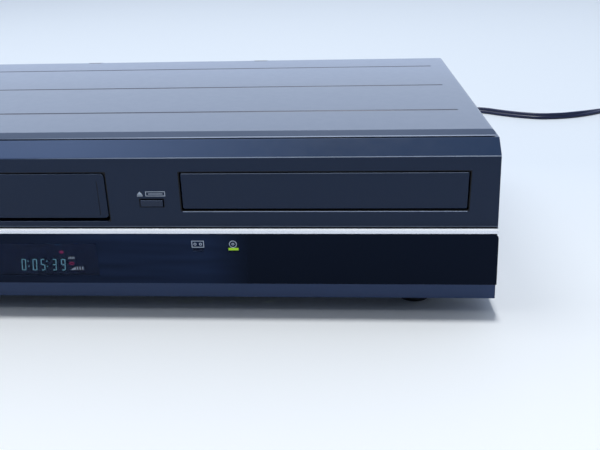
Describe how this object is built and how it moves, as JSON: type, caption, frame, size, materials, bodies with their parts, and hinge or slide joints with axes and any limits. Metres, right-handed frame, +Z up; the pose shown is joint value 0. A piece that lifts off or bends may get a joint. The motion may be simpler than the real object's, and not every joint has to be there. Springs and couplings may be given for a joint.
{
  "type": "disc and cassette recorder",
  "caption": "Low wide player with a cassette deck behind an inward-swinging door, a motor-driven disc tray, a smoked display panel with a drop-down flap, and a mains cord.",
  "frame": {"origin": "on the floor under the middle of the case, without the cord, its coil and its plug", "axes": "+X to the right as seen from the front, +Y from the front to the rear panel, +Z up"},
  "size_m": [0.7382, 0.483, 0.0995],
  "materials": {
    "pan_steel": "zinc-coated sheet, satin",
    "cover_paint": "satin grey paint with a fine grain",
    "bezel_abs": "dark blue-grey painted moulding, satin",
    "strip_silver": "silver paint, satin",
    "smoked_panel": "smoked, polished",
    "display_glass": "dark glass tube",
    "lamp_lens": "pale light pipe",
    "circuit_board": "green solder resist",
    "power_board": "brown paper laminate",
    "jack_plastic": "coloured socket mouldings",
    "jack_block": "black moulded block with plated shells",
    "socket_plate": "nickel plate",
    "foot_rubber": "matt",
    "screw_steel": "black oxide",
    "deck_steel": "plated sheet, satin",
    "drum_aluminium": "turned",
    "motor_steel": "plated can",
    "head_metal": "polished face",
    "loader_plastic": "black moulding",
    "tray_plastic": "black moulding, fine texture",
    "belt_rubber": "matt",
    "cord_rubber": "black flexible sheath, satin",
    "key_plastic": "satin",
    "power_key": "silver paint",
    "bay_key_plastic": "satin",
    "gear_plastic": "natural acetal",
    "pulley_brass": "turned",
    "turntable_plastic": "black moulding",
    "sled_aluminium": "die-cast",
    "shaft_steel": "ground",
    "roller_rubber": "ground rubber",
    "reel_plastic": "natural acetal",
    "slider_plastic": "grey moulding"
  },
  "bodies": {
    "case": {"bottom_pan": "pan_steel", "rear_panel": "pan_steel", "top_cover": "cover_paint", "front_bezel": "bezel_abs", "trim_strip": "strip_silver", "display_window": "smoked_panel", "display_module": "display_glass", "led_lenses": "lamp_lens", "front_board": "circuit_board", "front_jacks": "jack_plastic", "feet": "foot_rubber", "cover_screws": "screw_steel", "main_board": "circuit_board", "power_supply": "power_board", "rear_jacks": "jack_block", "antenna_sockets": "socket_plate", "deck_chassis": "deck_steel", "drum_base": "drum_aluminium", "deck_motors": "motor_steel", "tape_heads": "head_metal", "loader_frame": "loader_plastic", "clamp_bridge": "deck_steel", "tray_motor": "motor_steel", "tray_belt": "belt_rubber", "strain_relief": "cord_rubber", "mains_cord": "cord_rubber", "cord_coil": "cord_rubber", "mains_plug": "cord_rubber"},
    "flap": {"front_flap": "smoked_panel"},
    "cassette_door": {"cassette_door": "bezel_abs"},
    "tray": {"disc_tray": "tray_plastic", "tray_front": "bezel_abs"},
    "tray_eject_key": {"tray_eject_button": "key_plastic"},
    "cassette_eject_key": {"cassette_eject_button": "key_plastic"},
    "power_key": {"power_button": "power_key"},
    "stop_key": {"stop_button": "bay_key_plastic"},
    "play_key": {"play_button": "bay_key_plastic"},
    "record_key": {"record_button": "bay_key_plastic"},
    "channel_key": {"channel_rocker": "bay_key_plastic"},
    "tray_pinion": {"tray_pinion": "gear_plastic"},
    "pulley_gear": {"pulley_gear": "gear_plastic"},
    "motor_pulley": {"motor_pulley": "pulley_brass"},
    "traverse": {"traverse_plate": "deck_steel"},
    "turntable": {"turntable": "turntable_plastic"},
    "sled": {"pickup_sled": "sled_aluminium"},
    "sled_gear": {"sled_gear": "gear_plastic"},
    "clamp": {"clamp_puck": "turntable_plastic"},
    "drum": {"drum_rotor": "drum_aluminium"},
    "capstan": {"capstan": "shaft_steel"},
    "pinch_arm": {"pinch_arm": "shaft_steel"},
    "pinch_roller": {"pinch_roller": "roller_rubber"},
    "supply_reel": {"supply_reel": "reel_plastic"},
    "takeup_reel": {"takeup_reel": "reel_plastic"},
    "tension_arm": {"tension_arm": "shaft_steel"},
    "guide_left": {"guide_carriage_left": "sled_aluminium"},
    "guide_right": {"guide_carriage_right": "sled_aluminium"},
    "holder_slider": {"holder_slider": "slider_plastic"},
    "holder": {"cassette_holder": "deck_steel"},
    "cam": {"cam_gear": "gear_plastic"},
    "loading_pinion": {"loading_pinion": "gear_plastic"}
  },
  "joints": [
    {"name": "flap_hinge", "type": "hinge", "parent": "case", "child": "flap", "pos_m": [-0.15025, -0.1165, 0.0226], "axis": [1, 0, 0], "range_deg": [0, 90]},
    {"name": "cassette_door_hinge", "type": "hinge", "parent": "case", "child": "cassette_door", "pos_m": [-0.0915, -0.1125, 0.0861], "axis": [1, 0, 0], "range_deg": [0, 90], "stiffness_Nm_per_rad": 0.01},
    {"name": "tray_slide", "type": "slide", "parent": "case", "child": "tray", "axis": [0, -1, 0], "range_m": [0, 0.135]},
    {"name": "tray_eject_press", "type": "slide", "parent": "case", "child": "tray_eject_key", "axis": [0, 1, 0], "range_m": [0, 0.0012], "stiffness_N_per_m": 450},
    {"name": "cassette_eject_press", "type": "slide", "parent": "case", "child": "cassette_eject_key", "axis": [0, 1, 0], "range_m": [0, 0.0012], "stiffness_N_per_m": 450},
    {"name": "power_press", "type": "slide", "parent": "case", "child": "power_key", "axis": [0, 1, 0], "range_m": [0, 0.0012], "stiffness_N_per_m": 450},
    {"name": "stop_press", "type": "slide", "parent": "case", "child": "stop_key", "axis": [0, 1, 0], "range_m": [0, 0.0012], "stiffness_N_per_m": 450},
    {"name": "play_press", "type": "slide", "parent": "case", "child": "play_key", "axis": [0, 1, 0], "range_m": [0, 0.0012], "stiffness_N_per_m": 450},
    {"name": "record_press", "type": "slide", "parent": "case", "child": "record_key", "axis": [0, 1, 0], "range_m": [0, 0.0012], "stiffness_N_per_m": 450},
    {"name": "channel_rock", "type": "hinge", "parent": "case", "child": "channel_key", "pos_m": [-0.107, -0.1065, 0.033], "axis": [1, 0, 0], "range_deg": [-5, 5], "stiffness_Nm_per_rad": 0.02},
    {"name": "tray_pinion_spin", "type": "hinge", "parent": "case", "child": "tray_pinion", "pos_m": [0.07625, -0.084, 0.058], "axis": [0, 0, 1], "range_deg": [0, 644.59]},
    {"name": "pulley_gear_spin", "type": "hinge", "parent": "case", "child": "pulley_gear", "pos_m": [0.10025, -0.084, 0.054], "axis": [0, 0, 1], "range_deg": [-1289.16, 0]},
    {"name": "motor_pulley_spin", "type": "hinge", "parent": "case", "child": "motor_pulley", "pos_m": [0.13225, -0.084, 0.052], "axis": [0, 0, 1], "range_deg": [-4834.34, 0]},
    {"name": "traverse_tilt", "type": "hinge", "parent": "case", "child": "traverse", "pos_m": [0.12425, 0.0399, 0.056], "axis": [1, 0, 0], "range_deg": [0, 4.5]},
    {"name": "turntable_spin", "type": "hinge", "parent": "traverse", "child": "turntable", "pos_m": [0.12425, -0.0491, 0.06], "axis": [0, 0, 1], "continuous": true},
    {"name": "sled_slide", "type": "slide", "parent": "traverse", "child": "sled", "axis": [0, 1, 0], "range_m": [0, 0.034]},
    {"name": "sled_gear_spin", "type": "hinge", "parent": "traverse", "child": "sled_gear", "pos_m": [0.15825, 0.0019, 0.0585], "axis": [0, 0, 1], "range_deg": [-324.69, 0]},
    {"name": "clamp_spin", "type": "hinge", "parent": "case", "child": "clamp", "pos_m": [0.12425, -0.0491, 0.076], "axis": [0, 0, 1], "continuous": true},
    {"name": "drum_spin", "type": "hinge", "parent": "case", "child": "drum", "pos_m": [-0.0915, 0.054, 0.0332], "axis": [0, 0.1045, 0.9945], "continuous": true},
    {"name": "capstan_spin", "type": "hinge", "parent": "case", "child": "capstan", "pos_m": [-0.0295, 0.03, 0.03], "axis": [0, 0, 1], "continuous": true},
    {"name": "pinch_arm_swing", "type": "hinge", "parent": "case", "child": "pinch_arm", "pos_m": [-0.0075, 0.024, 0.03], "axis": [0, 0, 1], "range_deg": [-39.7, 0]},
    {"name": "pinch_roller_spin", "type": "hinge", "parent": "pinch_arm", "child": "pinch_roller", "pos_m": [-0.02088, 0.01196, 0.04], "axis": [0, 0, 1], "continuous": true},
    {"name": "supply_reel_spin", "type": "hinge", "parent": "case", "child": "supply_reel", "pos_m": [-0.1375, -0.038, 0.03], "axis": [0, 0, 1], "continuous": true},
    {"name": "takeup_reel_spin", "type": "hinge", "parent": "case", "child": "takeup_reel", "pos_m": [-0.0455, -0.038, 0.03], "axis": [0, 0, 1], "continuous": true},
    {"name": "tension_arm_swing", "type": "hinge", "parent": "case", "child": "tension_arm", "pos_m": [-0.1735, 0.008, 0.03], "axis": [0, 0, 1], "range_deg": [-15, 10], "stiffness_Nm_per_rad": 0.004},
    {"name": "guide_left_slide", "type": "slide", "parent": "case", "child": "guide_left", "axis": [0, 1, 0], "range_m": [0, 0.05]},
    {"name": "guide_right_slide", "type": "slide", "parent": "case", "child": "guide_right", "axis": [0, 1, 0], "range_m": [0, 0.05]},
    {"name": "holder_in", "type": "slide", "parent": "case", "child": "holder_slider", "axis": [0, 1, 0], "range_m": [0, 0.041]},
    {"name": "holder_down", "type": "slide", "parent": "holder_slider", "child": "holder", "axis": [0, 0, -1], "range_m": [0, 0.022]},
    {"name": "cam_turn", "type": "hinge", "parent": "case", "child": "cam", "pos_m": [-0.0155, 0.066, 0.03], "axis": [0, 0, 1], "range_deg": [0, 270]},
    {"name": "loading_pinion_spin", "type": "hinge", "parent": "case", "child": "loading_pinion", "pos_m": [-0.03247, 0.08297, 0.03], "axis": [0, 0, 1], "range_deg": [-810, 0]}
  ],
  "couplings": [
    {"joint": "tray_pinion_spin", "follows": "tray_slide", "rad_per_m": 83.333},
    {"joint": "pulley_gear_spin", "follows": "tray_slide", "rad_per_m": -166.67},
    {"joint": "motor_pulley_spin", "follows": "tray_slide", "rad_per_m": -625},
    {"joint": "sled_gear_spin", "follows": "sled_slide", "rad_per_m": -166.67},
    {"joint": "guide_left_slide", "follows": "cam_turn", "m_per_rad": 0.01061},
    {"joint": "guide_right_slide", "follows": "cam_turn", "m_per_rad": 0.01061},
    {"joint": "pinch_arm_swing", "follows": "cam_turn", "ratio": -0.14704},
    {"joint": "loading_pinion_spin", "follows": "cam_turn", "ratio": -3}
  ]
}
